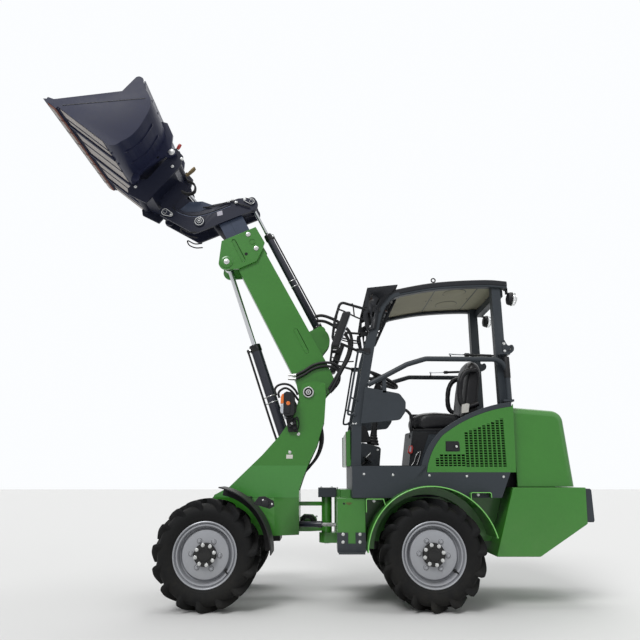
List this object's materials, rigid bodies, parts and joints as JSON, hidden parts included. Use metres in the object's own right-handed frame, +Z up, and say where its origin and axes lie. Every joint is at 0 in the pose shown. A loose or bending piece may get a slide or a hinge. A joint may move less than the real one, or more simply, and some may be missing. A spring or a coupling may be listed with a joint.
{
  "type": "wheel loader",
  "caption": "Articulated wheel loader with a telescopic lift arm, open cab under a flat roof, lugged tyres and a tilting bucket on a quick coupler.",
  "frame": {"origin": "middle of the overall box on the ground", "axes": "+X forward to the bucket, +Y to the machine's left, +Z up"},
  "size_m": [4.4027, 1.5, 4.2486],
  "materials": {
    "green_paint": "satin",
    "dark_grey": "satin",
    "bucket_grey": "satin",
    "arm_grey": "satin",
    "black_plastic": "matte",
    "seat_cover": "matte",
    "lamp": "gloss",
    "rim_grey": "satin",
    "tyre_rubber": "matte",
    "chrome": "polished",
    "bright_steel": "brushed"
  },
  "bodies": {
    "chassis": {"rear_frame": "green_paint", "steering_pin": "bright_steel", "steps": "green_paint", "step_plates": "dark_grey", "deck": "dark_grey", "rear_weight": "green_paint", "rear_bumper": "dark_grey", "battery_block": "black_plastic", "side_panels": "green_paint", "panel_bands": "dark_grey", "roof_frame": "dark_grey", "roof": "dark_grey", "front_cowl": "green_paint", "steering_console": "black_plastic", "seat_base": "dark_grey", "seat_cushion": "seat_cover", "seat_back": "seat_cover", "seat_console": "black_plastic", "seat_hoops": "seat_cover", "visor": "dark_grey", "mirror_arms": "dark_grey", "mirrors": "black_plastic", "rear_lamps": "lamp", "rear_axle": "dark_grey", "rear_fenders": "green_paint"},
    "front_body": {"front_frame": "green_paint", "arm_pin": "bright_steel", "front_axle": "dark_grey", "front_fenders": "black_plastic", "headlamps": "lamp"},
    "steering_ram_base": {"steering_ram_barrel": "dark_grey"},
    "steering_ram_piston": {"steering_ram_rod": "chrome"},
    "outer_boom": {"outer_arm": "green_paint", "telescope_ram_barrel": "dark_grey"},
    "inner_boom": {"inner_arm": "arm_grey", "arm_head": "bucket_grey", "telescope_ram_rod": "chrome"},
    "lift_ram_base": {"lift_ram_barrel": "dark_grey"},
    "lift_ram_piston": {"lift_ram_rod": "chrome"},
    "tilt_ram_base": {"tilt_ram_barrel": "dark_grey"},
    "tilt_ram_piston": {"tilt_ram_rod": "chrome"},
    "bucket_body": {"coupler": "bucket_grey", "bucket": "bucket_grey"},
    "hood_body": {"hood": "green_paint"},
    "side_rail_left_body": {"side_rail_left": "dark_grey"},
    "rail_strut_left_base": {"rail_strut_left_barrel": "black_plastic"},
    "rail_strut_left_piston": {"rail_strut_left_rod": "chrome"},
    "side_rail_right_body": {"side_rail_right": "dark_grey"},
    "rail_strut_right_base": {"rail_strut_right_barrel": "black_plastic"},
    "rail_strut_right_piston": {"rail_strut_right_rod": "chrome"},
    "wheel_front_left": {"tyre_front_left": "tyre_rubber", "rim_front_left": "rim_grey"},
    "wheel_front_right": {"tyre_front_right": "tyre_rubber", "rim_front_right": "rim_grey"},
    "wheel_rear_left": {"tyre_rear_left": "tyre_rubber", "rim_rear_left": "rim_grey"},
    "wheel_rear_right": {"tyre_rear_right": "tyre_rubber", "rim_rear_right": "rim_grey"}
  },
  "joints": [
    {"name": "articulation", "type": "hinge", "parent": "chassis", "child": "front_body", "pos_m": [-0.201, 0, 0.6], "axis": [0, 0, 1], "range_deg": [-40, 40]},
    {"name": "steering_ram_turn", "type": "hinge", "parent": "front_body", "child": "steering_ram_base", "pos_m": [0.079, 0.07, 0.56], "axis": [0, 0, 1], "range_deg": [-15.1, 15.1]},
    {"name": "steering_ram_stroke", "type": "slide", "parent": "steering_ram_base", "child": "steering_ram_piston", "axis": [-0.9694, 0.2454, 0], "range_m": [-0.094, 0.094]},
    {"name": "arm_lift", "type": "hinge", "parent": "front_body", "child": "outer_boom", "pos_m": [-0.049, 0, 1.612], "axis": [0, -1, 0], "range_deg": [-88, 0]},
    {"name": "lift_ram_turn", "type": "hinge", "parent": "front_body", "child": "lift_ram_base", "pos_m": [0.104, 0, 1.105], "axis": [0, -1, 0], "range_deg": [-81.1, 0]},
    {"name": "lift_ram_stroke", "type": "slide", "parent": "lift_ram_base", "child": "lift_ram_piston", "axis": [0.3279, 0, 0.9447], "range_m": [-0.717, 0]},
    {"name": "arm_telescope", "type": "slide", "parent": "outer_boom", "child": "inner_boom", "axis": [0.4602, 0, 0.8878], "range_m": [-0.1, 0.6]},
    {"name": "bucket_tilt", "type": "hinge", "parent": "inner_boom", "child": "bucket_body", "pos_m": [1.27044, 0, 3.27089], "axis": [0, 1, 0], "range_deg": [-45, 70]},
    {"name": "tilt_ram_turn", "type": "hinge", "parent": "inner_boom", "child": "tilt_ram_base", "pos_m": [0.42826, 0, 2.75003], "axis": [0, -1, 0], "range_deg": [-7.9, 5.1]},
    {"name": "tilt_ram_stroke", "type": "slide", "parent": "tilt_ram_base", "child": "tilt_ram_piston", "axis": [0.6593, 0, 0.7519], "range_m": [-0.195, 0.302]},
    {"name": "hood_hinge", "type": "hinge", "parent": "chassis", "child": "hood_body", "pos_m": [-1.665, 0, 1.476], "axis": [0, 1, 0], "range_deg": [0, 60]},
    {"name": "side_rail_left_hinge", "type": "hinge", "parent": "chassis", "child": "side_rail_left_body", "pos_m": [-1.637, 0.464, 1.7], "axis": [0, 0, 1], "range_deg": [0, 80]},
    {"name": "rail_strut_left_turn", "type": "hinge", "parent": "chassis", "child": "rail_strut_left_base", "pos_m": [-1.551, 0.384, 1.884], "axis": [0, 0, 1], "range_deg": [0, 79.4]},
    {"name": "rail_strut_left_stroke", "type": "slide", "parent": "rail_strut_left_base", "child": "rail_strut_left_piston", "axis": [0.9868, 0.1617, 0], "range_m": [0, 0.152]},
    {"name": "side_rail_right_hinge", "type": "hinge", "parent": "chassis", "child": "side_rail_right_body", "pos_m": [-1.637, -0.464, 1.7], "axis": [0, 0, -1], "range_deg": [0, 80]},
    {"name": "rail_strut_right_turn", "type": "hinge", "parent": "chassis", "child": "rail_strut_right_base", "pos_m": [-1.551, -0.384, 1.884], "axis": [0, 0, -1], "range_deg": [0, 79.4]},
    {"name": "rail_strut_right_stroke", "type": "slide", "parent": "rail_strut_right_base", "child": "rail_strut_right_piston", "axis": [0.9868, -0.1617, 0], "range_m": [0, 0.152]},
    {"name": "wheel_front_left_spin", "type": "hinge", "parent": "front_body", "child": "wheel_front_left", "pos_m": [0.68, 0.5, 0.387], "axis": [0, 1, 0], "continuous": true},
    {"name": "wheel_front_right_spin", "type": "hinge", "parent": "front_body", "child": "wheel_front_right", "pos_m": [0.68, -0.5, 0.387], "axis": [0, 1, 0], "continuous": true},
    {"name": "wheel_rear_left_spin", "type": "hinge", "parent": "chassis", "child": "wheel_rear_left", "pos_m": [-0.964, 0.5, 0.387], "axis": [0, 1, 0], "continuous": true},
    {"name": "wheel_rear_right_spin", "type": "hinge", "parent": "chassis", "child": "wheel_rear_right", "pos_m": [-0.964, -0.5, 0.387], "axis": [0, 1, 0], "continuous": true}
  ],
  "couplings": [
    {"joint": "steering_ram_turn", "follows": "articulation", "ratio": -0.36301},
    {"joint": "steering_ram_stroke", "follows": "articulation", "m_per_rad": -0.13325},
    {"joint": "lift_ram_turn", "follows": "arm_lift", "ratio": 0.92077},
    {"joint": "lift_ram_stroke", "follows": "arm_lift", "m_per_rad": 0.46657},
    {"joint": "tilt_ram_turn", "follows": "bucket_tilt", "ratio": -0.112},
    {"joint": "tilt_ram_stroke", "follows": "bucket_tilt", "m_per_rad": 0.24642},
    {"joint": "rail_strut_left_turn", "follows": "side_rail_left_hinge", "ratio": 0.99172},
    {"joint": "rail_strut_left_stroke", "follows": "side_rail_left_hinge", "m_per_rad": 0.10809},
    {"joint": "rail_strut_right_turn", "follows": "side_rail_right_hinge", "ratio": 0.99172},
    {"joint": "rail_strut_right_stroke", "follows": "side_rail_right_hinge", "m_per_rad": 0.10809}
  ]
}
